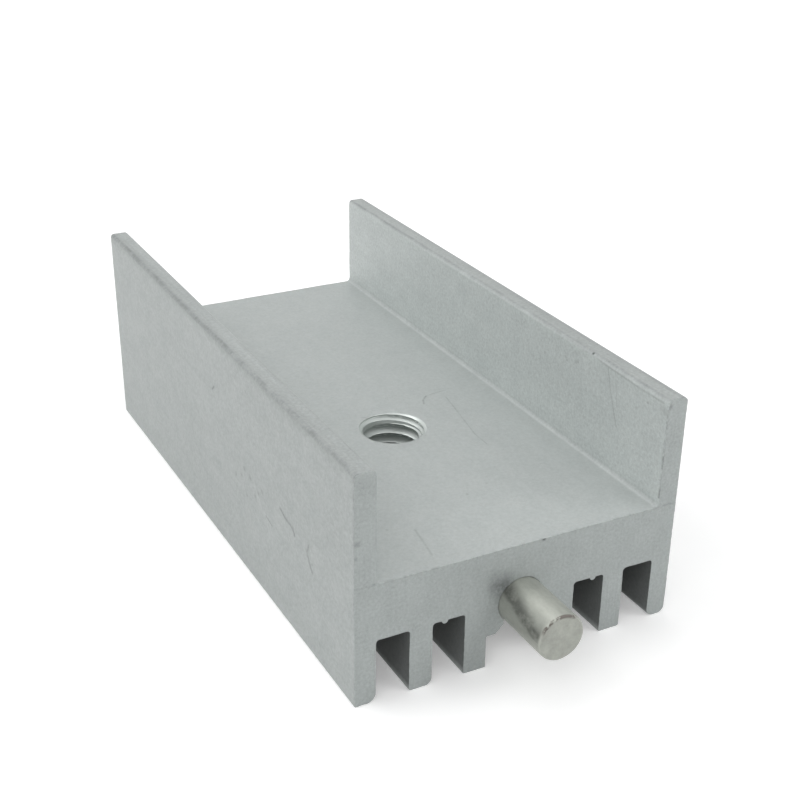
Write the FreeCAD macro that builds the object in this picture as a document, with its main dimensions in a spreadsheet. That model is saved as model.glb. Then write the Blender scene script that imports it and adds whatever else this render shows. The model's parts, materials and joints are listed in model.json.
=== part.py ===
"""Extruded heat sink for a tab-mounted transistor, with one solder pin pressed into it.

The heat sink is one length of a single extruded section: an open channel whose floor is
the seat for the transistor, four short fins under it between the two side walls, and a
thicker boss in the middle. A C-shaped groove runs along the boss, open downwards through a
mouth narrower than itself. The pin is pressed into the groove from the near end, and its
free length goes through the circuit board. A tapped hole in the seat takes the screw.

Millimetres. X runs across the section, Y along the extrusion, away from the near end, and
Z up. The origin is where the pin's axis leaves the near end face.
"""
import FreeCAD, Part
import math
import os

import Sketcher

# Driving sizes: alias, value and what it measures. "Tips" are the lower ends of the fins.
SIZES = [
    ("overall_width", 15.0, "across the two side walls"),
    ("overall_height", 10.4, "from the tips to the tops of the side walls"),
    ("section_length", 29.8, "length that the extrusion is cut to"),
    ("wall_thickness", 0.95, "side walls, the same over their whole height"),
    ("seat_height", 5.5, "from the tips to the seat"),
    ("slot_depth", 2.9, "from the tips to the roots of the slots"),
    ("slot_width", 1.45, "gaps between the fins"),
    ("fin_thickness", 1.05, "the four fins between the side walls"),
    ("boss_rise", 1.5, "from the tips up to the flat underside of the boss"),
    ("pin_height", 2.85, "from the tips to the pin's axis"),
    ("pin_diameter", 2.1, "pin, and the groove that it is pressed into"),
    ("pin_free_length", 3.0, "pin outside the near end face"),
    ("pin_seated_length", 8.0, "pin inside the groove"),
    ("pin_taper", 0.015, "how much the pin's radius falls off to its seated end"),
    ("pin_end_round", 0.2, "rounding of the pin's two ends"),
    ("mouth_width", 1.5, "opening of the groove between its lips"),
    ("mouth_lead_in", 0.4, "bevel on each side of the opening"),
    ("ridge_width", 0.4, "small ridge along the root of each inner slot"),
    ("ridge_height", 0.17, "how far that ridge stands out of the root"),
    ("ridge_inset", 0.53, "ridge's middle, from the outer side of its slot"),
    ("hole_distance", 11.4, "screw hole's axis, from the near end face"),
    ("tap_drill", 2.4, "drilled diameter of the tapped screw hole"),
    ("rim_width", 0.36, "width of the countersunk rim around the hole"),
    ("rim_angle", 90.0, "included angle of that rim, in degrees"),
    ("root_round", 0.17, "corners at the roots of the slots"),
    ("fin_tip_round", 0.11, "edges of the fins' tips"),
    ("wall_tip_round", 0.34, "edges of the side walls' lower ends"),
    ("wall_top_round", 0.24, "edges of the side walls' tops"),
    ("seat_corner_round", 0.48, "corners between the seat and the side walls"),
    ("lip_round", 0.1, "edges of the groove's mouth and corners beside the boss"),
]

# Largest share of a wall or fin that the rounding of one of its edges may take.
ROUND_LIMIT = 0.45
# How near an edge has to lie to a stated place to be picked for a rounding.
PICK_TOLERANCE = 0.001

# Places across the section, counted from its middle, each from the one outside it.
HALF_WIDTH = "Sizes.overall_width / 2"
WALL_INSIDE = f"({HALF_WIDTH} - Sizes.wall_thickness)"
OUTER_SLOT_INSIDE = f"({WALL_INSIDE} - Sizes.slot_width)"
INNER_SLOT_OUTSIDE = f"({OUTER_SLOT_INSIDE} - Sizes.fin_thickness)"
INNER_SLOT_INSIDE = f"({INNER_SLOT_OUTSIDE} - Sizes.slot_width)"
BOSS_HALF_WIDTH = f"({INNER_SLOT_INSIDE} - Sizes.fin_thickness)"
MOUTH_HALF_WIDTH = "Sizes.mouth_width / 2"
LEAD_IN_HALF_WIDTH = f"({MOUTH_HALF_WIDTH} + Sizes.mouth_lead_in)"
RIDGE_MIDDLE = f"({INNER_SLOT_OUTSIDE} - Sizes.ridge_inset)"

# Levels, counted from the pin's axis.
TIP_LEVEL = "-Sizes.pin_height"
TOP_LEVEL = "(Sizes.overall_height - Sizes.pin_height)"
SEAT_LEVEL = "(Sizes.seat_height - Sizes.pin_height)"
ROOT_LEVEL = "(Sizes.slot_depth - Sizes.pin_height)"
BOSS_LEVEL = "(Sizes.boss_rise - Sizes.pin_height)"
LIP_LEVEL = f"({BOSS_LEVEL} + Sizes.mouth_lead_in)"


def make_sheet(doc):
    """Put the driving sizes into a spreadsheet, one aliased cell each."""
    sheet = doc.addObject("Spreadsheet::Sheet", "Sizes")
    for row, (alias, value, note) in enumerate(SIZES, start=1):
        sheet.set(f"A{row}", note)
        sheet.set(f"B{row}", str(value))
        sheet.setAlias(f"B{row}", alias)
    doc.recompute()
    return sheet


def number(owner, expression):
    """The value that an expression on the sheet has now, as a plain number."""
    return float(owner.evalExpression(expression))


def origin_plane(body, role):
    """The body's own origin plane with this role, such as XZ_Plane."""
    return next(item for item in body.Origin.OriginFeatures if item.Role == role)


def sketch_on(body, name, role):
    """An empty sketch on one of the body's origin planes."""
    sketch = body.newObject("Sketcher::SketchObject", name)
    sketch.AttachmentSupport = [(origin_plane(body, role), "")]
    sketch.MapMode = "FlatFace"
    return sketch


def bind(sketch, constraint, name, expression):
    """Add a named constraint to a sketch and let an expression set it."""
    sketch.addConstraint(constraint)
    sketch.renameConstraint(sketch.ConstraintCount - 1, name)
    sketch.setExpression(f"Constraints.{name}", expression)


def rectangle(low, high):
    """Corners of an upright rectangle, anticlockwise from its lower left one."""
    return [low, (high[0], low[1]), high, (low[0], high[1])]


def add_outline(sketch, name, corners):
    """A closed outline of straight sides, each corner given as a pair of expressions."""
    places = [
        FreeCAD.Vector(number(sketch, across), number(sketch, upward), 0)
        for across, upward in corners
    ]
    sides = [
        sketch.addGeometry(Part.LineSegment(place, places[(index + 1) % len(places)]), False)
        for index, place in enumerate(places)
    ]
    for side, following in zip(sides, sides[1:] + sides[:1]):
        sketch.addConstraint(Sketcher.Constraint("Coincident", side, 2, following, 1))
    for index, (side, place, (across, upward)) in enumerate(zip(sides, places, corners)):
        x_constraint = Sketcher.Constraint("DistanceX", -1, 1, side, 1, place.x)
        y_constraint = Sketcher.Constraint("DistanceY", -1, 1, side, 1, place.y)
        bind(sketch, x_constraint, f"{name}_x{index}", across)
        bind(sketch, y_constraint, f"{name}_y{index}", upward)


def lengthwise(body, kind, name, sketch):
    """A pad or pocket of a section sketch over the extrusion's whole length."""
    feature = body.newObject(kind, name)
    feature.Profile = sketch
    feature.Reversed = kind == "PartDesign::Pad"
    feature.setExpression("Length", "Sizes.section_length")
    sketch.Visibility = False
    return feature


def lengthwise_edges(feature, places):
    """Names of the edges along Y that pass through these places, on both sides.

    Each place is a pair of expressions, x and z, and stands for its mirror image too.
    """
    wanted = [(number(feature, x), number(feature, z)) for x, z in places]
    names = []
    for index, edge in enumerate(feature.Shape.Edges, start=1):
        start, end = edge.Vertexes[0].Point, edge.Vertexes[-1].Point
        if math.hypot(end.x - start.x, end.z - start.z) > PICK_TOLERANCE:
            continue
        if any(math.hypot(abs(start.x) - x, start.z - z) < PICK_TOLERANCE for x, z in wanted):
            names.append(f"Edge{index}")
    return names


def round_edges(doc, body, name, radius, limit, places):
    """Round the lengthwise edges at these places, within a share of the wall they are on."""
    doc.recompute()
    base = body.Tip
    fillet = body.newObject("PartDesign::Fillet", name)
    fillet.Base = (base, lengthwise_edges(base, places))
    fillet.setExpression("Radius", f"min({radius}; {ROUND_LIMIT} * {limit})")
    return fillet


def make_blank(body):
    """The outline of the whole section, as a plain bar."""
    sketch = sketch_on(body, "BlankSection", "XZ_Plane")
    corners = rectangle((f"-{HALF_WIDTH}", TIP_LEVEL), (HALF_WIDTH, TOP_LEVEL))
    add_outline(sketch, "blank", corners)
    return lengthwise(body, "PartDesign::Pad", "Blank", sketch)


def cut_channel(body):
    """The open channel above the seat, between the side walls."""
    sketch = sketch_on(body, "ChannelSection", "XZ_Plane")
    corners = rectangle((f"-{WALL_INSIDE}", SEAT_LEVEL), (WALL_INSIDE, TOP_LEVEL))
    add_outline(sketch, "channel", corners)
    return lengthwise(body, "PartDesign::Pocket", "Channel", sketch)


def cut_boss_relief(body):
    """The space under the boss, between the two inner fins."""
    sketch = sketch_on(body, "BossReliefSection", "XZ_Plane")
    corners = rectangle((f"-{BOSS_HALF_WIDTH}", TIP_LEVEL), (BOSS_HALF_WIDTH, BOSS_LEVEL))
    add_outline(sketch, "relief", corners)
    return lengthwise(body, "PartDesign::Pocket", "BossRelief", sketch)


def cut_slots(body):
    """The outer and inner slot of one side."""
    sketch = sketch_on(body, "SlotSection", "XZ_Plane")
    outer = rectangle((OUTER_SLOT_INSIDE, TIP_LEVEL), (WALL_INSIDE, ROOT_LEVEL))
    inner = rectangle((INNER_SLOT_INSIDE, TIP_LEVEL), (INNER_SLOT_OUTSIDE, ROOT_LEVEL))
    add_outline(sketch, "outer", outer)
    add_outline(sketch, "inner", inner)
    return lengthwise(body, "PartDesign::Pocket", "Slots", sketch)


def add_ridge(body):
    """The small rounded ridge along the root of the inner slot of the same side.

    Its section is part of a circle below the root, closed by a straight line inside the
    metal, one ridge height above the root.
    """
    sketch = sketch_on(body, "RidgeSection", "XZ_Plane")
    middle = number(sketch, RIDGE_MIDDLE)
    root = number(sketch, ROOT_LEVEL)
    half = number(sketch, "Sizes.ridge_width / 2")
    rise = number(sketch, "Sizes.ridge_height")
    left = FreeCAD.Vector(middle - half, root, 0)
    right = FreeCAD.Vector(middle + half, root, 0)
    low = FreeCAD.Vector(middle, root - rise, 0)
    left_top = FreeCAD.Vector(middle - half, root + rise, 0)
    right_top = FreeCAD.Vector(middle + half, root + rise, 0)
    arc = sketch.addGeometry(Part.Arc(left, low, right), False)
    right_side = sketch.addGeometry(Part.LineSegment(right, right_top), False)
    top = sketch.addGeometry(Part.LineSegment(right_top, left_top), False)
    left_side = sketch.addGeometry(Part.LineSegment(left_top, left), False)
    # The arc runs anticlockwise, from its left end to its right end.
    sketch.addConstraint(Sketcher.Constraint("Coincident", arc, 2, right_side, 1))
    sketch.addConstraint(Sketcher.Constraint("Coincident", right_side, 2, top, 1))
    sketch.addConstraint(Sketcher.Constraint("Coincident", top, 2, left_side, 1))
    sketch.addConstraint(Sketcher.Constraint("Coincident", left_side, 2, arc, 1))
    sketch.addConstraint(Sketcher.Constraint("Vertical", right_side))
    sketch.addConstraint(Sketcher.Constraint("Vertical", left_side))
    sketch.addConstraint(Sketcher.Constraint("Horizontal", top))
    radius = (half * half + rise * rise) / (2 * rise)
    bind(
        sketch,
        Sketcher.Constraint("DistanceX", -1, 1, arc, 1, middle - half),
        "ridge_left",
        f"{RIDGE_MIDDLE} - Sizes.ridge_width / 2",
    )
    bind(
        sketch,
        Sketcher.Constraint("DistanceX", -1, 1, arc, 2, middle + half),
        "ridge_right",
        f"{RIDGE_MIDDLE} + Sizes.ridge_width / 2",
    )
    bind(sketch, Sketcher.Constraint("DistanceY", -1, 1, arc, 1, root), "ridge_root", ROOT_LEVEL)
    bind(
        sketch,
        Sketcher.Constraint("DistanceY", -1, 1, right_side, 2, root + rise),
        "ridge_top",
        f"{ROOT_LEVEL} + Sizes.ridge_height",
    )
    sketch.addConstraint(Sketcher.Constraint("Horizontal", arc, 1, arc, 2))
    bind(
        sketch,
        Sketcher.Constraint("Radius", arc, radius),
        "ridge_radius",
        "(Sizes.ridge_width ^ 2 / 4 + Sizes.ridge_height ^ 2) / (2 * Sizes.ridge_height)",
    )
    return lengthwise(body, "PartDesign::Pad", "Ridge", sketch)


def mirror_sides(body, features):
    """The same features on the other side of the section's middle plane."""
    mirror = body.newObject("PartDesign::Mirrored", "OtherSide")
    mirror.Originals = features
    mirror.MirrorPlane = (origin_plane(body, "YZ_Plane"), [""])
    body.Tip = mirror
    return mirror


def cut_groove(body):
    """The C-shaped groove for the pin: a round bore, its mouth and the mouth's bevels."""
    sketch = sketch_on(body, "GrooveSection", "XZ_Plane")
    radius = number(sketch, "Sizes.pin_diameter / 2")
    mouth = number(sketch, MOUTH_HALF_WIDTH)
    lead_in = number(sketch, LEAD_IN_HALF_WIDTH)
    lip = number(sketch, LIP_LEVEL)
    under = number(sketch, BOSS_LEVEL)
    meet = -math.sqrt(radius * radius - mouth * mouth)
    outline = [
        FreeCAD.Vector(-mouth, meet, 0),
        FreeCAD.Vector(-mouth, lip, 0),
        FreeCAD.Vector(-lead_in, under, 0),
        FreeCAD.Vector(lead_in, under, 0),
        FreeCAD.Vector(mouth, lip, 0),
        FreeCAD.Vector(mouth, meet, 0),
    ]
    bore = sketch.addGeometry(
        Part.Arc(outline[-1], FreeCAD.Vector(0, radius, 0), outline[0]), False
    )
    lines = [
        sketch.addGeometry(Part.LineSegment(start, end), False)
        for start, end in zip(outline, outline[1:])
    ]
    left_lip, left_bevel, bottom, right_bevel, right_lip = lines
    for line, following in zip(lines, lines[1:]):
        sketch.addConstraint(Sketcher.Constraint("Coincident", line, 2, following, 1))
    # The arc runs anticlockwise, from the right lip over the top to the left lip.
    sketch.addConstraint(Sketcher.Constraint("Coincident", bore, 2, left_lip, 1))
    sketch.addConstraint(Sketcher.Constraint("Coincident", right_lip, 2, bore, 1))
    sketch.addConstraint(Sketcher.Constraint("Coincident", bore, 3, -1, 1))
    sketch.addConstraint(Sketcher.Constraint("Vertical", left_lip))
    sketch.addConstraint(Sketcher.Constraint("Vertical", right_lip))
    sketch.addConstraint(Sketcher.Constraint("Horizontal", bottom))
    bind(
        sketch, Sketcher.Constraint("Radius", bore, radius), "bore_radius", "Sizes.pin_diameter / 2"
    )
    for name, line, end, x_now, z_now, x_place, z_place in (
        ("left_lip", left_lip, 2, -mouth, lip, f"-{MOUTH_HALF_WIDTH}", LIP_LEVEL),
        ("right_lip", right_lip, 1, mouth, lip, MOUTH_HALF_WIDTH, LIP_LEVEL),
        ("left_edge", left_bevel, 2, -lead_in, under, f"-{LEAD_IN_HALF_WIDTH}", BOSS_LEVEL),
    ):
        across = Sketcher.Constraint("DistanceX", -1, 1, line, end, x_now)
        upward = Sketcher.Constraint("DistanceY", -1, 1, line, end, z_now)
        bind(sketch, across, f"{name}_x", x_place)
        bind(sketch, upward, f"{name}_z", z_place)
    right_edge = Sketcher.Constraint("DistanceX", -1, 1, right_bevel, 1, lead_in)
    bind(sketch, right_edge, "right_edge_x", LEAD_IN_HALF_WIDTH)
    return lengthwise(body, "PartDesign::Pocket", "PinGroove", sketch)


def drill_hole(doc, body):
    """The screw hole, drilled for its tap from the seat right through the boss."""
    sketch = sketch_on(body, "HolePlace", "XY_Plane")
    sketch.setExpression(".AttachmentOffset.Base.z", SEAT_LEVEL)
    radius = number(sketch, "Sizes.tap_drill / 2")
    distance = number(sketch, "Sizes.hole_distance")
    middle = FreeCAD.Vector(0, distance, 0)
    circle = sketch.addGeometry(Part.Circle(middle, FreeCAD.Vector(0, 0, 1), radius), False)
    sketch.addConstraint(Sketcher.Constraint("PointOnObject", circle, 3, -2))
    bind(
        sketch,
        Sketcher.Constraint("DistanceY", -1, 1, circle, 3, distance),
        "hole_distance",
        "Sizes.hole_distance",
    )
    bind(
        sketch, Sketcher.Constraint("Radius", circle, radius), "hole_radius", "Sizes.tap_drill / 2"
    )
    doc.recompute()
    hole = body.newObject("PartDesign::Hole", "ScrewHole")
    hole.Profile = sketch
    doc.recompute()
    hole.DepthType = "ThroughAll"
    hole.setExpression("Diameter", "Sizes.tap_drill")
    hole.HoleCutType = "Countersink"
    hole.HoleCutCustomValues = True
    hole.setExpression("HoleCutDiameter", "Sizes.tap_drill + 2 * Sizes.rim_width")
    hole.setExpression("HoleCutCountersinkAngle", "Sizes.rim_angle")
    sketch.Visibility = False
    return hole


def make_heat_sink(doc):
    """The extrusion: its section over its whole length, then the screw hole."""
    body = doc.addObject("PartDesign::Body", "heat_sink")
    body.Label = "heat_sink"
    make_blank(body)
    cut_channel(body)
    cut_boss_relief(body)
    mirror_sides(body, [cut_slots(body), add_ridge(body)])
    cut_groove(body)
    wall, fin = "Sizes.wall_thickness", "Sizes.fin_thickness"
    slot_sides = [WALL_INSIDE, OUTER_SLOT_INSIDE, INNER_SLOT_OUTSIDE, INNER_SLOT_INSIDE]
    fin_sides = [OUTER_SLOT_INSIDE, INNER_SLOT_OUTSIDE, INNER_SLOT_INSIDE, BOSS_HALF_WIDTH]
    wall_sides = [HALF_WIDTH, WALL_INSIDE]
    boss_sides = [LEAD_IN_HALF_WIDTH, BOSS_HALF_WIDTH]
    for name, radius, limit, sides, level in (
        ("RootRounds", "Sizes.root_round", "Sizes.slot_width", slot_sides, ROOT_LEVEL),
        ("FinTipRounds", "Sizes.fin_tip_round", fin, fin_sides, TIP_LEVEL),
        ("WallTipRounds", "Sizes.wall_tip_round", wall, wall_sides, TIP_LEVEL),
        ("WallTopRounds", "Sizes.wall_top_round", wall, wall_sides, TOP_LEVEL),
        ("SeatCornerRounds", "Sizes.seat_corner_round", WALL_INSIDE, [WALL_INSIDE], SEAT_LEVEL),
        ("LipRounds", "Sizes.lip_round", "Sizes.mouth_lead_in", [MOUTH_HALF_WIDTH], LIP_LEVEL),
        ("BossRounds", "Sizes.lip_round", "Sizes.mouth_lead_in", boss_sides, BOSS_LEVEL),
    ):
        round_edges(doc, body, name, radius, limit, [(side, level) for side in sides])
    drill_hole(doc, body)
    return body


def make_solder_pin(doc):
    """The round pin: a plain free length, a seated length that tapers, and rounded ends."""
    body = doc.addObject("PartDesign::Body", "solder_pin")
    body.Label = "solder_pin"
    sketch = sketch_on(body, "PinHalfSection", "XY_Plane")
    radius = "Sizes.pin_diameter / 2"
    half_section = [
        ("0", "-Sizes.pin_free_length"),
        (radius, "-Sizes.pin_free_length"),
        (radius, "0"),
        (f"{radius} - Sizes.pin_taper", "Sizes.pin_seated_length"),
        ("0", "Sizes.pin_seated_length"),
    ]
    add_outline(sketch, "pin", half_section)
    shank = body.newObject("PartDesign::Revolution", "Shank")
    shank.Profile = sketch
    shank.ReferenceAxis = (sketch, ["V_Axis"])
    shank.Angle = 360
    sketch.Visibility = False
    doc.recompute()
    ends = [
        f"Edge{index}"
        for index, edge in enumerate(shank.Shape.Edges, start=1)
        if edge.isClosed() and abs(edge.BoundBox.Center.y) > PICK_TOLERANCE
    ]
    rounds = body.newObject("PartDesign::Fillet", "EndRounds")
    rounds.Base = (shank, ends)
    rounds.setExpression(
        "Radius", f"min(Sizes.pin_end_round; {ROUND_LIMIT} * Sizes.pin_diameter / 2)"
    )
    return body


def check(doc, bodies):
    """Stop if any object failed to build or any piece isn't one valid solid."""
    for item in doc.Objects:
        if "Invalid" in item.State or "Error" in item.State:
            raise RuntimeError(f"{item.Name} didn't build: {item.State}")
    for body in bodies:
        shape = body.Shape
        if shape.isNull() or not shape.isValid() or len(shape.Solids) != 1:
            raise RuntimeError(f"{body.Label} isn't one valid solid")


def main():
    """Build the document, check it and write one file for each piece."""
    doc = FreeCAD.newDocument("HeatSink")
    make_sheet(doc)
    bodies = [make_heat_sink(doc), make_solder_pin(doc)]
    doc.recompute()
    check(doc, bodies)
    os.makedirs("parts", exist_ok=True)
    for body in bodies:
        body.Shape.exportStep(f"parts/{body.Label}.step")
        box = body.Shape.BoundBox
        print(
            f"{body.Label}: volume {body.Shape.Volume:.3f},"
            f" x {box.XMin:.3f} to {box.XMax:.3f},"
            f" y {box.YMin:.3f} to {box.YMax:.3f},"
            f" z {box.ZMin:.3f} to {box.ZMax:.3f}"
        )


main()
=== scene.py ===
"""Looks of the extruded aluminium heat sink and its solder pin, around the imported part.

Meshes are in metres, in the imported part's own frame. Names that end in _mm, the cutter's
reach past the metal, and the fields of the section, the thread, the marks and the two
pieces are in millimetres.
"""

import json
import logging
import math
from abc import ABC, abstractmethod
from collections.abc import Iterable
from dataclasses import dataclass, field
from enum import Enum
from itertools import pairwise

import bmesh
import bpy
import numpy as np
from mathutils import Matrix, Vector, noise


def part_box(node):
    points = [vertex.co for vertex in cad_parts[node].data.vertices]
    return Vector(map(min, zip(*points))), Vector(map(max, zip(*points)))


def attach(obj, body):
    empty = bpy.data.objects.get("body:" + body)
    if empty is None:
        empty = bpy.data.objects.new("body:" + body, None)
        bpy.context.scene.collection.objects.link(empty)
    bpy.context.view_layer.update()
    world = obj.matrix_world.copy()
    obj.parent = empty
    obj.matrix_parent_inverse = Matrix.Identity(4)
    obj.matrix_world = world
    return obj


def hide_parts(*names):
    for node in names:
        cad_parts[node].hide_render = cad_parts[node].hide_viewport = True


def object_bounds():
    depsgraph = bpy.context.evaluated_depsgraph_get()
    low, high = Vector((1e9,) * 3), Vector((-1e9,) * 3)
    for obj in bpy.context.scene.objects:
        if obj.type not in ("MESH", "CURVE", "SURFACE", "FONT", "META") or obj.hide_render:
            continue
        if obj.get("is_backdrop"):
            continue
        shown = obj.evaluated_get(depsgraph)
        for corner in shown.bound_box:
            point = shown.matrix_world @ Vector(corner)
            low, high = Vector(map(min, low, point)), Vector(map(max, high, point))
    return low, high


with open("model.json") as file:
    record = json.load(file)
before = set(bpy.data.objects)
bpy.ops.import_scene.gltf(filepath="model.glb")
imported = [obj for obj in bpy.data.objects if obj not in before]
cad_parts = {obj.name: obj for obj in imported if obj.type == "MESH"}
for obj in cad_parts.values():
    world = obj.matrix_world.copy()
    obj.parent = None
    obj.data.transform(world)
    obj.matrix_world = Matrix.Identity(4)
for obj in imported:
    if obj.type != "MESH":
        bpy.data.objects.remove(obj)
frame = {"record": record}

LOG = logging.getLogger("heat_sink")
MM = 0.001
BODY = "root"
CUT_PAST = 0.3
Point = tuple[float, float]
Place = tuple[float, float, float]
Colour = tuple[float, float, float]
Faces = list[tuple[int, ...]]
Socket = bpy.types.NodeSocket
Number = Socket | float


def srgb_to_linear(colour: Colour) -> Colour:
    """Turns a colour from 0 to 1 as a screen shows it into the shader's linear values."""
    return tuple(c / 12.92 if c <= 0.04045 else ((c + 0.055) / 1.055) ** 2.4 for c in colour)


def record_colour(slot: str) -> Colour:
    """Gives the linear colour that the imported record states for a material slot."""
    stated = next(m for m in frame["record"]["materials"] if m["slot"] == slot)
    return srgb_to_linear(tuple(stated["base_color"][:3]))


def mount(name: str) -> dict:
    """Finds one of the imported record's mounts by its name."""
    return next(m for m in frame["record"]["mounts"] if m["name"] == name)


class Skin(Enum):
    """The kinds of aluminium surface, in the order of the heat sink's materials."""

    EXTRUDED = 0
    SAWN = 1
    TAPPED = 2


class End(Enum):
    """The two sawn ends of the extrusion, by the seeds of their ragged edges."""

    NEAR = 20.0
    FAR = 50.0


@dataclass(frozen=True)
class Corner:
    """One corner of the section and how far it is rounded."""

    x: float
    z: float
    radius: float = 0.0


@dataclass(frozen=True)
class SideRounds:
    """How the tips of one half of the section are rounded, from the wall inwards."""

    wall_outside: float
    wall_inside: float
    fin_outside: float
    fin_inside: float
    inner_fin: float


@dataclass
class Section:
    """The extruded section, seen along the extrusion."""

    half_width: float
    bottom: float
    top: float
    seat: float
    groove_radius: float
    wall: float = 0.95
    slot_width: float = 1.45
    slot_root: float = 0.05
    fin: float = 1.05
    boss_half: float = 1.55
    boss_bottom: float = -1.35
    mouth_half: float = 0.75
    lead_in: float = 0.4
    lip: float = 0.1
    ridge_middle: float = 3.52
    ridge_half: float = 0.15
    ridge_height: float = 0.14
    ridge_points: int = 9
    groove_points: int = 56
    root_round: float = 0.13
    boss_round: float = 0.06
    wall_top_round: float = 0.2
    seat_round: float = 0.2
    step: float = 0.15
    arc_step: float = math.radians(11)
    left: SideRounds = SideRounds(0.05, 0.42, 0.1, 0.32, 0.05)
    right: SideRounds = SideRounds(0.34, 0.38, 0.1, 0.07, 0.05)

    @property
    def inside(self) -> float:
        """Gives how far the walls' inner faces are from the middle plane."""
        return self.half_width - self.wall

    def half_corners(self, rounds: SideRounds) -> list[Corner]:
        """Lists one half's corners from the middle of the seat to the groove's mouth.

        Args:
            rounds: The tip rounds of this half.

        Returns:
            The corners on the side where x is positive.
        """
        inside = self.inside
        outer_slot = inside - self.slot_width
        inner_slot = outer_slot - self.fin
        inner_fin = inner_slot - self.slot_width
        lead_half = self.mouth_half + self.lead_in
        mouth_top = -math.sqrt(self.groove_radius**2 - self.mouth_half**2)
        corners = [
            Corner(0.0, self.seat),
            Corner(inside, self.seat, self.seat_round),
            Corner(inside, self.top, self.wall_top_round),
            Corner(self.half_width, self.top, self.wall_top_round),
            Corner(self.half_width, self.bottom, rounds.wall_outside),
            Corner(inside, self.bottom, rounds.wall_inside),
            Corner(inside, self.slot_root, self.root_round),
            Corner(outer_slot, self.slot_root, self.root_round),
            Corner(outer_slot, self.bottom, rounds.fin_outside),
            Corner(inner_slot, self.bottom, rounds.fin_inside),
            Corner(inner_slot, self.slot_root, self.root_round),
        ]
        corners += self.ridge_corners()
        corners += [
            Corner(inner_fin, self.slot_root, self.root_round),
            Corner(inner_fin, self.bottom, rounds.inner_fin),
            Corner(self.boss_half, self.bottom, rounds.inner_fin),
            Corner(self.boss_half, self.boss_bottom, self.boss_round),
            Corner(lead_half, self.boss_bottom, self.lip),
            Corner(self.mouth_half, self.boss_bottom + self.lead_in, self.lip),
            Corner(self.mouth_half, mouth_top, 0.0),
        ]
        return corners

    def ridge_corners(self) -> list[Corner]:
        """Lists the points of the small rounded ridge under the inner slot's root.

        Returns:
            The points as corners that need no further rounding.
        """
        half, rise = self.ridge_half, self.ridge_height
        radius = (half**2 + rise**2) / (2 * rise)
        centre = self.slot_root - rise + radius
        reach = math.asin(min(1.0, half / radius))
        if rise > radius:
            reach = math.pi - reach
        turns = np.linspace(reach, -reach, self.ridge_points)
        return [
            Corner(self.ridge_middle + radius * math.sin(a), centre - radius * math.cos(a))
            for a in turns
        ]

    def rounded(self, corners: list[Corner]) -> list[Point]:
        """Turns corners into points, with each round drawn as a short arc.

        Args:
            corners: The corners in order; the first and the last stay as they are.

        Returns:
            The points of the open line.
        """
        points: list[Point] = [(corners[0].x, corners[0].z)]
        for before, here, after in zip(corners, corners[1:], corners[2:]):
            if here.radius <= 0.0:
                points.append((here.x, here.z))
                continue
            at = Vector((here.x, here.z))
            back = (Vector((before.x, before.z)) - at).normalized()
            ahead = (Vector((after.x, after.z)) - at).normalized()
            half_angle = math.acos(max(-1.0, min(1.0, back.dot(ahead)))) / 2
            reach = here.radius / math.tan(half_angle)
            # The arc touches both edges at the same reach from the corner.
            centre = at + (back + ahead).normalized() * (here.radius / math.sin(half_angle))
            start = at + back * reach - centre
            finish = at + ahead * reach - centre
            turn = math.copysign(math.pi - 2 * half_angle, start.x * finish.y - start.y * finish.x)
            count = max(2, math.ceil(abs(turn) / self.arc_step))
            for k in range(count + 1):
                a = turn * k / count
                x = start.x * math.cos(a) - start.y * math.sin(a)
                z = start.x * math.sin(a) + start.y * math.cos(a)
                points.append((centre.x + x, centre.y + z))
        points.append((corners[-1].x, corners[-1].z))
        return points

    def groove_arc(self) -> list[Point]:
        """Draws the groove's arc from the right of its mouth over the top to the left.

        Returns:
            The points between the mouth's two edges.
        """
        low = math.asin(-math.sqrt(1 - (self.mouth_half / self.groove_radius) ** 2))
        turns = np.linspace(low, math.pi - low, self.groove_points)[1:-1]
        radius = self.groove_radius
        return [(radius * math.cos(a), radius * math.sin(a)) for a in turns]

    def outline(self) -> np.ndarray:
        """Draws the whole section as one closed line of evenly spaced points.

        Returns:
            An array of x and z, clockwise from the middle of the seat.
        """
        right = self.rounded(self.half_corners(self.right))
        left = [(-x, z) for x, z in self.rounded(self.half_corners(self.left))]
        line = right + self.groove_arc() + left[::-1][:-1]
        points: list[Point] = []
        for a, b in zip(line, line[1:] + line[:1]):
            run = math.hypot(b[0] - a[0], b[1] - a[1])
            count = max(1, math.ceil(run / self.step))
            points += [
                (a[0] + (b[0] - a[0]) * k / count, a[1] + (b[1] - a[1]) * k / count)
                for k in range(count)
            ]
        return np.array(points)


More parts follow.
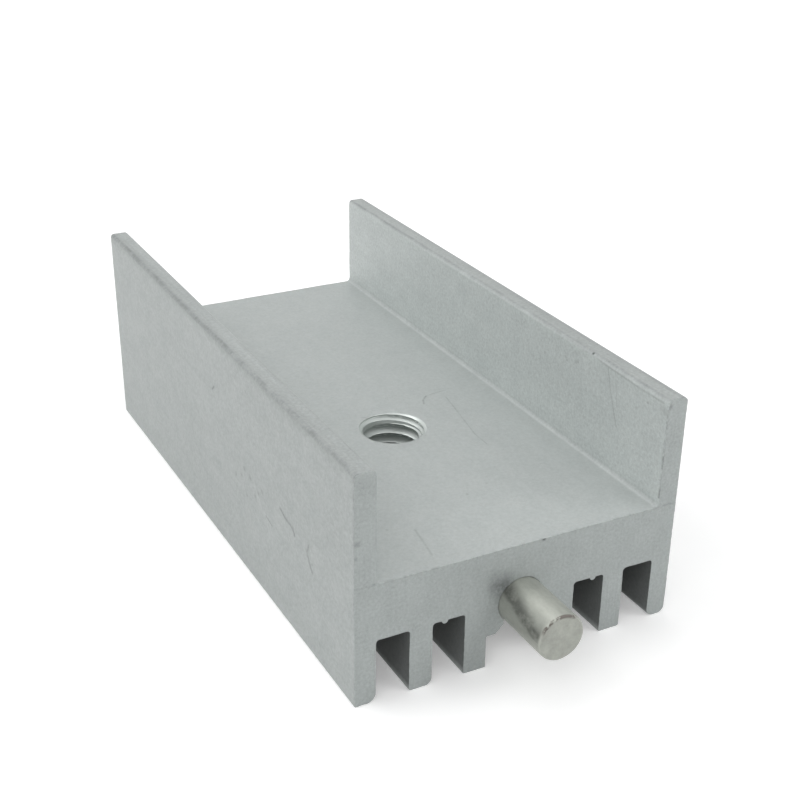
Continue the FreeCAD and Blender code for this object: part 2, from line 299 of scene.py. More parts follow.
@dataclass
class ScrewThread:
    """The tapped hole, as the solid that the tap and the countersink take away.

    The rim's heights and its extra rows are measured from the seat.
    """

    y: float
    seat: float
    minor: float
    bottom: float
    major: float = 1.58
    pitch: float = 0.5
    root_at_back: float = 2.56
    crest_soft: float = 0.035
    flank: float = math.radians(60)
    rim_heights: tuple[float, ...] = (
        -0.9, -0.5, -0.44, -0.3, -0.2, -0.13, -0.07, -0.03, -0.006, 0.004, 0.03, 0.3,
    )
    rim_radii: tuple[float, ...] = (
        0.6, 1.19, 1.35, 1.38, 1.395, 1.42, 1.48, 1.53, 1.56, 1.575, 1.6, 1.63,
    )
    rim_rows: tuple[float, ...] = (-0.33, -0.2, -0.13, -0.1, -0.07, -0.03, -0.006, 0.004, 0.03, 0.3)
    around: int = 128
    rows_per_turn: int = 26
    least_step: float = 0.0025

    def thread_radius(self, z: np.ndarray, turn: np.ndarray) -> np.ndarray:
        """Gives the radius of the thread's groove and crest.

        Args:
            z: Heights.
            turn: Angles round the hole, anticlockwise from the right.

        Returns:
            The radius at each height and angle.
        """
        # The groove is a helix: its middle is where the phase is a whole number.
        phase = (z - self.root_at_back) / self.pitch - (turn - math.pi / 2) / (2 * math.pi)
        away = np.abs(phase - np.round(phase)) * self.pitch
        flank = self.major - math.tan(self.flank) * np.maximum(away - self.pitch / 16, 0.0)
        gap = flank - self.minor
        # A smooth maximum of the groove and the drilled wall keeps the crests soft.
        return self.minor + 0.5 * (gap + np.sqrt(gap**2 + self.crest_soft**2))

    def rim_radius(self, z: np.ndarray) -> np.ndarray:
        """Gives the countersunk rim's radius, with its outer edge eased into the seat."""
        return np.interp(z - self.seat, self.rim_heights, self.rim_radii)

    def cutter(self, skins: list[bpy.types.Material]) -> bpy.types.Object:
        """Builds the solid to take away from the seat, boss and lips.

        Args:
            skins: The heat sink's materials, in their order.

        Returns:
            A closed mesh object.
        """
        rows = np.arange(self.bottom, self.seat + CUT_PAST, self.pitch / self.rows_per_turn)
        edges = self.seat + np.array(self.rim_rows)
        rows = np.unique(np.concatenate([rows, edges]).round(5))
        # Rows that almost coincide would leave slivers in the cut.
        rows = rows[np.concatenate([[True], np.diff(rows) > self.least_step])]
        turns = np.arange(self.around) * 2 * math.pi / self.around
        z, turn = np.meshgrid(rows, turns, indexing="ij")
        radius = np.maximum(self.thread_radius(z, turn), self.rim_radius(z))
        grid = np.stack([radius * np.cos(turn), self.y + radius * np.sin(turn), z], axis=-1)
        verts = [tuple(v) for v in grid.reshape(-1, 3) * MM]
        faces = tube(len(rows), self.around)
        faces.append(tuple(range(self.around))[::-1])
        faces.append(tuple(range(len(verts) - self.around, len(verts))))
        mesh = raw_mesh("tapped_hole", verts, faces, skins)
        mesh.polygons.foreach_set("material_index", [Skin.TAPPED.value] * len(mesh.polygons))
        triangulate(mesh)
        return add_object("tapped_hole", mesh)


def tube(rings: int, around: int) -> Faces:
    """Lists the four-sided faces between rings of points.

    Args:
        rings: How many rings there are.
        around: How many points each ring has.

    Returns:
        The faces, ring by ring.
    """
    faces: Faces = []
    for start in range(0, (rings - 1) * around, around):
        for j in range(around):
            a, b = start + j, start + (j + 1) % around
            faces.append((a, b, b + around, a + around))
    return faces


def raw_mesh(
    name: str, verts: list[Place], faces: Faces, skins: list[bpy.types.Material]
) -> bpy.types.Mesh:
    """Makes a mesh that carries some materials.

    Args:
        name: The mesh's name.
        verts: Its points in metres.
        faces: Its faces, by the numbers of their points.
        skins: Its materials in order.

    Returns:
        The mesh, with the first material on every face.
    """
    mesh = bpy.data.meshes.new(name)
    mesh.from_pydata(verts, [], faces)
    for skin in skins:
        mesh.materials.append(skin)
    return mesh


def add_object(name: str, data: bpy.types.ID) -> bpy.types.Object:
    """Puts a mesh, lamp or camera into the scene.

    Args:
        name: The new object's name.
        data: The mesh, lamp or camera.

    Returns:
        The object.
    """
    made = bpy.data.objects.new(name, data)
    bpy.context.scene.collection.objects.link(made)
    return made


def triangulate(mesh: bpy.types.Mesh) -> None:
    """Splits every face of a mesh into triangles and turns the faces outwards.

    Args:
        mesh: The mesh to change.
    """
    work = bmesh.new()
    work.from_mesh(mesh)
    bmesh.ops.triangulate(work, faces=work.faces, quad_method="FIXED", ngon_method="EAR_CLIP")
    bmesh.ops.recalc_face_normals(work, faces=work.faces)
    work.to_mesh(mesh)
    work.free()


def ripple(x: float, y: float, z: float, seed: float) -> float:
    """Gives smooth noise from 0 to 1 at a place, the same on every run."""
    return 0.5 + 0.5 * noise.noise(Vector((x + seed, y - seed, z + 2 * seed)))


@dataclass(frozen=True)
class Grain:
    """A fractal noise: counts per millimetre along x, y and z, and how it is made up.

    The swing is how far it moves a tone, and the tilt turns it about y, in degrees.
    """

    counts: tuple[float, float, float]
    detail: float = 3.0
    rough: float = 0.6
    swing: float = 0.0
    tilt: float = 0.0


class Graph:
    """A short way to add and join the nodes of one material."""

    def __init__(self, name: str) -> None:
        """Starts a material with a bare shader and output.

        Args:
            name: The material's name.
        """
        self.material = bpy.data.materials.new(name)
        self.material.use_nodes = True
        self.tree = self.material.node_tree
        self.tree.nodes.clear()
        self.shader = self.tree.nodes.new("ShaderNodeBsdfPrincipled")
        output = self.tree.nodes.new("ShaderNodeOutputMaterial")
        self.tree.links.new(self.shader.outputs["BSDF"], output.inputs["Surface"])
        self.place = self.tree.nodes.new("ShaderNodeTexCoord").outputs["Object"]

    def node(self, kind: str, inputs: dict | None = None, **settings: object) -> bpy.types.Node:
        """Adds a node.

        Args:
            kind: The node's type name without its ShaderNode prefix.
            inputs: Values or output sockets for its inputs, by name or index.
            settings: Attributes to set on the node.

        Returns:
            The new node.
        """
        made = self.tree.nodes.new("ShaderNode" + kind)
        for key, value in settings.items():
            setattr(made, key, value)
        for key, value in (inputs or {}).items():
            self.join(made.inputs[key], value)
        return made

    def join(self, socket: Socket, value: object) -> None:
        """Links an output to an input, or sets the input's own value.

        Args:
            socket: The input.
            value: The output to link, or the value to set.
        """
        if isinstance(value, bpy.types.NodeSocket):
            self.tree.links.new(value, socket)
        else:
            socket.default_value = value

    def maths(self, operation: str, a: Number, b: Number = 0.0, c: Number = 0.0) -> Socket:
        """Gives the result of one arithmetic step on numbers or outputs."""
        return self.node("Math", {0: a, 1: b, 2: c}, operation=operation).outputs[0]

    def vector(self, operation: str, inputs: dict) -> bpy.types.Node:
        """Adds one step of vector arithmetic."""
        return self.node("VectorMath", inputs, operation=operation)

    def scaled(self, x: float, y: float, z: float) -> Socket:
        """Gives the place on the part with each axis in its own count per millimetre."""
        return self.vector("MULTIPLY", {0: self.place, 1: (x / MM, y / MM, z / MM)}).outputs[0]

    def axes(self) -> tuple[Socket, ...]:
        """Gives the place on the part in millimetres as three numbers."""
        return tuple(self.node("SeparateXYZ", {0: self.scaled(1, 1, 1)}).outputs)

    def length(self, vector: Socket) -> Socket:
        """Gives how long a vector is."""
        return self.vector("LENGTH", {0: vector}).outputs["Value"]

    def gap(self, value: Number, middle: Number) -> Socket:
        """Gives how far a value lies from a middle, to either side."""
        return self.maths("ABSOLUTE", self.maths("SUBTRACT", value, middle))

    def spread(self, value: Number, low: float, high: float, a: float = 0.0, b: float = 1.0) -> Socket:
        """Maps a value from low to high onto a to b, held at both ends."""
        inputs = {0: value, 1: low, 2: high, 3: a, 4: b}
        return self.node("MapRange", inputs, interpolation_type="SMOOTHSTEP").outputs[0]

    def fade(self, value: Number, full: float, gone: float) -> Socket:
        """Gives 1 where a value is below full, down to 0 where it is above gone."""
        return self.spread(value, full, gone, 1.0, 0.0)

    def both(self, first: Number, second: Number, *more: Number) -> Socket:
        """Multiplies masks or tones.

        Args:
            first: The first of them.
            second: The second of them.
            more: Any others.

        Returns:
            What all of the masks cover together, or the tone under them.
        """
        product = self.maths("MULTIPLY", first, second)
        for mask in more:
            product = self.maths("MULTIPLY", product, mask)
        return product

    def swing(self, tone: Number, noise_value: Socket, reach: Number) -> Socket:
        """Adds a noise's swing about its middle to a tone."""
        return self.maths("MULTIPLY_ADD", self.maths("SUBTRACT", noise_value, 0.5), reach, tone)

    def dimmed(self, tone: Number, mask: Socket, share: float) -> Socket:
        """Makes a tone darker where a mask is 1, or lighter by a negative share."""
        return self.maths("MULTIPLY", tone, self.maths("MULTIPLY_ADD", mask, -share, 1.0))

    def grain(self, grain: Grain) -> Socket:
        """Gives a fractal noise from about 0 to 1 over the part.

        Args:
            grain: The noise's counts and make-up.

        Returns:
            The noise at each place.
        """
        if grain.tilt:
            rotation = (0.0, math.radians(grain.tilt), 0.0)
            turned = {"Vector": self.scaled(1, 1, 1), "Rotation": rotation, "Scale": grain.counts}
            place = self.node("Mapping", turned).outputs[0]
        else:
            place = self.scaled(*grain.counts)
        inputs = {"Vector": place, "Scale": 1.0, "Detail": grain.detail, "Roughness": grain.rough}
        return self.node("TexNoise", inputs).outputs[0]

    def grained(self, tone: Number, *grains: Grain) -> tuple[Socket, list[Socket]]:
        """Adds the swings of several noises to a tone.

        Args:
            tone: The tone to start from.
            grains: The noises.

        Returns:
            The uneven tone, and the output of each noise.
        """
        outputs = [self.grain(grain) for grain in grains]
        for grain, output in zip(grains, outputs):
            tone = self.swing(tone, output, grain.swing)
        return tone, outputs

    def times(self, colour: Colour | Socket, factor: Socket) -> Socket:
        """Multiplies a colour by a number at each place."""
        return self.vector("SCALE", {0: colour, "Scale": factor}).outputs[0]

    def mixed(self, share: Number, a: Colour | Socket, b: Colour | Socket) -> Socket:
        """Mixes two colours.

        Args:
            share: How much of the second colour there is, from 0 to 1.
            a: The first colour.
            b: The second colour.

        Returns:
            The mixed colour.
        """
        mix = self.node("Mix", data_type="RGBA")
        self.join(mix.inputs[0], share)
        for socket, value in zip((i for i in mix.inputs if i.type == "RGBA"), (a, b)):
            self.join(socket, (*value, 1.0) if isinstance(value, tuple) else value)
        return next(o for o in mix.outputs if o.type == "RGBA")

    def finished(self, base: Socket, rough: Socket, height: Socket, depth_mm: float) -> None:
        """Joins what varies over the surface to the shader.

        Args:
            base: The colour.
            rough: The roughness.
            height: The height map that is pressed into the surface.
            depth_mm: How deep the height map goes.
        """
        bump = self.node("Bump", {"Strength": 1.0, "Distance": depth_mm * MM, "Height": height})
        self.join(self.shader.inputs["Base Color"], base)
        self.join(self.shader.inputs["Roughness"], rough)
        self.join(self.shader.inputs["Normal"], bump.outputs[0])


@dataclass(frozen=True)
class Mark:
    """A scratch, speck or stain on a face, or a painted shadow, by its two ends in millimetres."""

    start: Place
    end: Place
    width: float
    strength: float

    def away(self, g: Graph, place: Socket) -> Socket:
        """Gives how far each place is from the line between the mark's ends.

        Args:
            g: The graph of the material that carries the mark.
            place: The place on the part in millimetres.

        Returns:
            The distance in millimetres.
        """
        if self.start == self.end:
            return g.vector("DISTANCE", {0: place, 1: self.start}).outputs["Value"]
        start, end = Vector(self.start), Vector(self.end)
        along = (end - start).normalized()
        from_start = g.vector("SUBTRACT", {0: place, 1: tuple(start)}).outputs[0]
        reach = g.vector("DOT_PRODUCT", {0: from_start, 1: tuple(along)}).outputs["Value"]
        held = g.node("Clamp", {0: reach, 1: 0.0, 2: (end - start).length}).outputs[0]
        nearest = g.vector("SCALE", {0: tuple(along), "Scale": held}).outputs[0]
        return g.vector("DISTANCE", {0: from_start, 1: nearest}).outputs["Value"]


def trail(points: Iterable[Place], width: float, strength: float) -> tuple[Mark, ...]:
    """Joins points along a scratch with marks of one width and strength."""
    return tuple(Mark(a, b, width, strength) for a, b in pairwise(points))


def speck(place: Place, width: float, strength: float) -> Mark:
    """Makes a small round mark at a place."""
    return Mark(place, place, width, strength)


@dataclass(frozen=True, kw_only=True)
class Aluminium(ABC):
    """What the aluminium surfaces share: bare, etched metal with placed marks.

    A shade is the share of the tone that a surface loses, and a painted light is the share that it
    gains.
    The masks fade from one place to the next in millimetres.
    """

    colour: Colour
    section: Section
    marks: tuple[Mark, ...] = ()
    metallic: float = 0.3
    roughness: float = 0.52
    mark_breaks: Grain = Grain((2.4, 2.4, 2.4), 3.0, 0.7)
    specks: Grain = Grain((2.6, 2.6, 2.6), 3.0, 0.7)

    @abstractmethod
    def build(self) -> bpy.types.Material:
        """Makes the material of one kind of surface."""

    def tint(self, red: float, green: float, blue: float) -> Colour:
        """Gives the aluminium's colour with its three parts changed a little."""
        return (self.colour[0] * red, self.colour[1] * green, self.colour[2] * blue)

    def marked(self, g: Graph) -> Socket:
        """Gives how dark the placed marks are at each place, broken up by noise.

        Args:
            g: The graph of the material.

        Returns:
            The share of the tone that the marks take away.
        """
        place = g.scaled(1, 1, 1)
        total: Number = 0.0
        for mark in self.marks:
            dark = g.spread(mark.away(g, place), 0.0, mark.width, mark.strength, 0.0)
            total = g.maths("MAXIMUM", total, dark)
        return g.both(total, g.spread(g.grain(self.mark_breaks), 0.3, 0.6, 0.45, 1.0))


@dataclass(frozen=True, kw_only=True)
class DrawnAluminium(Aluminium):
    """The faces that the die draws: fine grain, lines along them, stains, and painted shade and light in
    zones.
    """

    length: float
    fine: Grain = Grain((7.0, 7.0, 7.0), 4.0, 0.75, swing=0.75)
    die_lines: Grain = Grain((5.0, 0.05, 5.0), 5.0, 0.65, swing=0.12)
    patches: Grain = Grain((1.3, 0.9, 1.3), 4.0, swing=0.2)
    cloud: Grain = Grain((0.16, 0.09, 0.16), 3.0, 0.55, swing=0.12)
    pits: Grain = Grain((3.1, 3.1, 3.1), 2.0, 0.8)
    top_drift: Grain = Grain((0.0, 0.35, 0.0), 3.0, 0.7)
    top_streaks: Grain = Grain((6.0, 0.14, 6.0), swing=0.28)
    top_breaks: Grain = Grain((0.5, 0.8, 0.5), 3.0, 0.7)
    cool: Colour = (0.995, 1.0, 1.02)
    warm: Colour = (1.01, 1.0, 1.01)
    fine_roughness: float = 0.16
    seat_calm: float = 0.4
    painted_seat_light: float = 0.06
    painted_slot_shade: float = 0.62
    painted_inner_wall_light: float = 0.26
    painted_side_shade: float = 0.07
    top_shade: float = 0.13
    top_line_shade: float = 0.2
    top_line_inset: float = 0.1
    end_shade: float = 0.2
    pit_shade: float = 0.16
    line_height: float = 0.6
    depth_mm: float = 0.008

    def build(self) -> bpy.types.Material:
        """Makes the drawn faces' material.

        Returns:
            The material.
        """
        g = Graph("aluminium_extruded")
        x, y, z = g.axes()
        across = g.maths("ABSOLUTE", x)
        outside = self.section.half_width
        tone, outputs = g.grained(1.0, self.fine, self.die_lines, self.patches, self.cloud)
        fine, lines, patches = outputs[:3]
        on_seat = self.seat(g, across, z)
        # The seat is more even than the other faces.
        calm = g.maths("MULTIPLY_ADD", on_seat, -self.seat_calm, 1.0)
        tone = g.maths("MULTIPLY_ADD", g.maths("SUBTRACT", tone, 1.0), calm, 1.0)
        # Painted shade: the slots and the pin's groove are darkened deep inside.
        tone = g.dimmed(tone, self.painted_slot_shade_mask(g, across, z), self.painted_slot_shade)
        # Painted light: the channel's inner walls are made lighter.
        tone = g.dimmed(tone, self.inner_wall_light_mask(g, across, z), -self.painted_inner_wall_light)
        tone = g.dimmed(tone, self.tops(g, x, z), 1.0)
        # Painted shade: the outer side faces are made a little darker.
        tone = g.dimmed(tone, g.spread(across, outside - 0.06, outside - 0.01), self.painted_side_shade)
        tone = g.dimmed(tone, self.ragged_ends(g, y), self.end_shade)
        # Painted light: the seat is a little lighter to the right and towards the near end.
        lighter = g.maths("MAXIMUM", g.spread(x, 0.5, 5.5), g.fade(y, 0.5, 7.0))
        tone = g.dimmed(tone, g.both(on_seat, lighter), -self.painted_seat_light)
        tone = g.dimmed(tone, g.spread(g.grain(self.pits), 0.71, 0.8), self.pit_shade)
        tone = g.dimmed(tone, self.marked(g), 1.0)
        colour = g.mixed(patches, self.tint(*self.cool), self.tint(*self.warm))
        rough = g.maths("MULTIPLY_ADD", fine, self.fine_roughness, self.roughness)
        height = g.maths("MULTIPLY_ADD", lines, self.line_height, fine)
        g.finished(g.times(colour, tone), rough, height, self.depth_mm)
        g.shader.inputs["Metallic"].default_value = self.metallic
        return g.material

    def seat(self, g: Graph, across: Socket, z: Socket) -> Socket:
        """Gives 1 on the seat between the side walls.

        Args:
            g: The graph of the material.
            across: How far a place is from the middle plane.
            z: Its height.

        Returns:
            The mask.
        """
        inside = self.section.inside
        level = g.fade(g.gap(z, self.section.seat), 0.02, 0.06)
        return g.both(level, g.fade(across, inside + 0.02, inside + 0.08))

    def painted_slot_shade_mask(self, g: Graph, across: Socket, z: Socket) -> Socket:
        """Gives 1 inside the slots and the pin's groove, where shade is painted into the colour.

        Args:
            g: The graph of the material.
            across: How far a place is from the middle plane.
            z: Its height.

        Returns:
            The mask.
        """
        s, inside, groove = self.section, self.section.inside, self.section.groove_radius
        held = g.fade(across, inside + 0.05, inside + 0.15)
        below = g.fade(z, s.slot_root + 0.1, s.slot_root + 0.3)
        slot = g.both(held, below, g.spread(z, s.bottom + 0.02, s.bottom + 0.4))
        near_axis = g.fade(across, groove + 0.05, groove + 0.2)
        return g.maths("MAXIMUM", slot, g.both(near_axis, g.fade(z, groove + 0.1, groove + 0.3)))

    def inner_wall_light_mask(self, g: Graph, across: Socket, z: Socket) -> Socket:
        """Gives 1 on the channel's two inner walls, where light is painted into the colour.

        Args:
            g: The graph of the material.
            across: How far a place is from the middle plane.
            z: Its height.

        Returns:
            The mask.
        """
        s, inside = self.section, self.section.inside
        at_wall = g.spread(across, inside - 0.12, inside - 0.02)
        held = g.fade(across, inside + 0.02, inside + 0.12)
        return g.both(at_wall, held, g.spread(z, s.seat + 0.06, s.seat + s.seat_round + 0.1))

    def tops(self, g: Graph, x: Socket, z: Socket) -> Socket:
        """Gives the shade of the side walls' tops, with dark die lines near their edges and painted
        shade on their rounded outer corners.

        Args:
            g: The graph of the material.
            x: A place's distance to the right of the middle plane.
            z: Its height.

        Returns:
            The share of the tone that is lost there.
        """
        s = self.section
        drift = g.grain(self.top_drift)
        shade = g.swing(self.top_shade, g.grain(self.top_streaks), self.top_streaks.swing)
        broken = g.spread(g.grain(self.top_breaks), 0.3, 0.7)
        for edge in (-s.half_width, s.inside):
            wander = g.swing(edge + self.top_line_inset, drift, 0.25)
            line = g.fade(g.gap(x, wander), 0.0, 0.15)
            shade = g.maths("MULTIPLY_ADD", g.both(line, broken), self.top_line_shade, shade)
        # Painted shade on the rounded outer corner, darker by a share that drifts along the wall.
        corner_x = g.maths("SUBTRACT", g.maths("ABSOLUTE", x), s.half_width - 0.08)
        corner_z = g.maths("SUBTRACT", z, s.top - 0.1)
        away = g.length(g.node("CombineXYZ", {0: corner_x, 2: corner_z}).outputs[0])
        painted_corner_shade = g.both(g.fade(away, 0.05, 0.42), g.maths("MULTIPLY_ADD", drift, 0.16, 0.03))
        return g.maths("MULTIPLY_ADD", shade, g.spread(z, s.top - 0.2, s.top - 0.06), painted_corner_shade)

    def ragged_ends(self, g: Graph, y: Socket) -> Socket:
        """Gives dark specks along the edges of the two sawn ends.

        Args:
            g: The graph of the material.
            y: A place's distance along the extrusion.

        Returns:
            The mask.
        """
        half = self.length / 2
        at_end = g.spread(g.gap(y, half), half - 0.12, half - 0.01)
        return g.both(at_end, g.spread(g.grain(self.specks), 0.46, 0.6))


@dataclass(frozen=True, kw_only=True)
class SawnAluminium(Aluminium):
    """The sawn ends: close, nearly upright saw marks over fine grain, stains and a painted shadow of the
    pin.
    """

    fine: Grain = Grain((8.0, 8.0, 8.0), 4.0, 0.75, swing=0.65)
    saw_marks: Grain = Grain((9.0, 1.0, 0.3), 4.0, swing=0.14, tilt=4.0)
    patches: Grain = Grain((1.1, 1.1, 0.8), 4.0, swing=0.22)
    tone: float = 0.9
    cast: Colour = (0.99, 1.0, 1.015)
    seat_edge_shade: float = 0.14
    saw_roughness: float = 0.2
    saw_height: float = 1.2
    depth_mm: float = 0.01

    def build(self) -> bpy.types.Material:
        """Makes the sawn ends' material.

        Returns:
            The material.
        """
        g = Graph("aluminium_sawn")
        z = g.axes()[2]
        tone, outputs = g.grained(self.tone, self.fine, self.saw_marks, self.patches)
        fine, saw = outputs[:2]
        edge = g.fade(g.gap(z, self.section.seat), 0.03, 0.1)
        ragged = g.both(edge, g.spread(g.grain(self.specks), 0.42, 0.58))
        tone = g.dimmed(tone, ragged, self.seat_edge_shade)
        tone = g.dimmed(tone, self.marked(g), 1.0)
        rough = g.maths("MULTIPLY_ADD", saw, self.saw_roughness, self.roughness)
        height = g.maths("MULTIPLY_ADD", saw, self.saw_height, fine)
        g.finished(g.times(self.tint(*self.cast), tone), rough, height, self.depth_mm)
        g.shader.inputs["Metallic"].default_value = self.metallic
        return g.material


@dataclass(frozen=True, kw_only=True)
class TappedAluminium(Aluminium):
    """The fresh-cut thread and rim: brighter, partly as fresh metal and partly as painted light, and
    smoother, with tool lines round them.
    """

    metallic: float = 0.6
    roughness: float = 0.3
    fine: Grain = Grain((12.0, 12.0, 12.0))
    rings: Grain = Grain((0.5, 0.5, 30.0), swing=0.2)
    thread_tone_and_painted_light: float = 1.2
    rim_tone_and_painted_light: float = 1.3
    fine_roughness: float = 0.16
    depth_mm: float = 0.004

    def build(self) -> bpy.types.Material:
        """Makes the tapped hole's material.

        Returns:
            The material.
        """
        g = Graph("aluminium_tapped")
        z, seat = g.axes()[2], self.section.seat
        fine = g.grain(self.fine)
        # Partly painted light: the thread and, more, the rim are made lighter than the aluminium's own
        # colour.
        tone = g.spread(z, seat - 0.3, seat - 0.02, self.thread_tone_and_painted_light, self.rim_tone_and_painted_light)
        tone, (rings,) = g.grained(tone, self.rings)
        rough = g.maths("MULTIPLY_ADD", fine, self.fine_roughness, self.roughness)
        g.finished(g.times(self.colour, tone), rough, g.maths("ADD", fine, rings), self.depth_mm)
        g.shader.inputs["Metallic"].default_value = self.metallic
        return g.material


@dataclass(frozen=True)
class TinnedWire:
    """Dull tin plating on drawn wire: lengthwise lines, a stained end, a painted dark reflection and a
    painted highlight.

    Angles are in degrees round the pin, from the right over the top.
    """

    colour: Colour
    free: float
    metallic: float = 0.4
    roughness: float = 0.32
    fine: Grain = Grain((7.0, 5.0, 7.0), 4.0, 0.7, swing=0.3)
    drawn: Grain = Grain((4.0, 0.5, 4.0), 4.0, swing=0.28)
    cloud: Grain = Grain((0.9, 0.6, 0.9), swing=0.3)
    uneven: Grain = Grain((1.9, 1.3, 1.9), 3.0, 0.7)
    spots: Grain = Grain((2.6, 2.6, 2.6), 3.0, 0.65)
    blotches: Grain = Grain((3.2, 3.2, 3.2), 3.0, 0.7)
    tone: float = 1.12
    cloud_roughness: float = 0.24
    dark_reflection_angle: float = 133.0
    dark_reflection_turn: float = -13.0
    dark_reflection_shade: float = 0.45
    painted_highlight_angle: float = 106.0
    painted_highlight_tone: float = 1.08
    end_tone: float = 0.86
    stain: Colour = (0.075, 0.052, 0.046)
    stain_angle: float = 100.0
    stain_strength: float = 0.8
    drawn_height: float = 0.8
    depth_mm: float = 0.008

    def build(self) -> bpy.types.Material:
        """Makes the pin's material.

        Returns:
            The material.
        """
        g = Graph("pin_tinned")
        x, y, z = g.axes()
        turn = g.maths("DEGREES", g.maths("ARCTAN2", z, x))
        tone, (fine, drawn, cloud) = g.grained(self.tone, self.fine, self.drawn, self.cloud)
        # Painted reflection: a dark band winding along the pin's upper left side.
        tone = g.dimmed(tone, self.painted_dark_reflection(g, y, turn), self.dark_reflection_shade)
        # Painted highlight: a lighter band along the top of the pin.
        crest = g.spread(g.gap(turn, self.painted_highlight_angle), 4.0, 24.0, self.painted_highlight_tone, 1.0)
        flat_end = g.spread(y, 0.005 - self.free, 0.03 - self.free, self.end_tone, 1.0)
        tone = g.both(tone, crest, flat_end)
        spot_swing = g.spread(y, 0.005 - self.free, 0.05 - self.free, 0.5, 0.16)
        tone = g.both(tone, g.swing(1.0, g.grain(self.spots), spot_swing))
        colour = g.mixed(self.stained(g, x, y, z, turn), g.times(self.colour, tone), self.stain)
        rough = g.maths("MULTIPLY_ADD", cloud, self.cloud_roughness, self.roughness)
        height = g.maths("MULTIPLY_ADD", drawn, self.drawn_height, fine)
        g.finished(colour, rough, height, self.depth_mm)
        g.shader.inputs["Metallic"].default_value = self.metallic
        return g.material

    def painted_dark_reflection(self, g: Graph, y: Socket, turn: Socket) -> Socket:
        """Gives the painted dark reflection that winds a little round the pin.

        Args:
            g: The graph of the material.
            y: A place's distance along the pin.
            turn: Its angle round the pin.

        Returns:
            The mask, stronger in places.
        """
        away = g.maths("SUBTRACT", turn, g.maths("MULTIPLY_ADD", y, self.dark_reflection_turn, self.dark_reflection_angle))
        painted_dark_reflection = g.both(g.spread(away, -32.0, -2.0), g.fade(away, 6.0, 22.0))
        side = g.spread(y, -self.free + 0.02, -self.free + 0.2)
        return g.both(painted_dark_reflection, side, g.spread(g.grain(self.uneven), 0.34, 0.62, 0.5, 1.35))

    def stained(self, g: Graph, x: Socket, y: Socket, z: Socket, turn: Socket) -> Socket:
        """Gives the brown stain round the upper part of the sheared end's rim.

        Args:
            g: The graph of the material.
            x: A place's distance to the right of the pin's axis.
            y: Its distance along the pin.
            z: Its height over the axis.
            turn: Its angle round the pin.

        Returns:
            The share of the stain's colour.
        """
        out = g.length(g.node("CombineXYZ", {0: x, 2: z}).outputs[0])
        rim = g.both(g.spread(out, 0.86, 0.97), g.fade(y, 0.06 - self.free, 0.12 - self.free))
        upper = g.fade(g.gap(turn, self.stain_angle), 40.0, 62.0)
        blotches = g.both(g.spread(g.grain(self.blotches), 0.36, 0.52), self.stain_strength)
        return g.both(g.both(rim, upper), blotches)


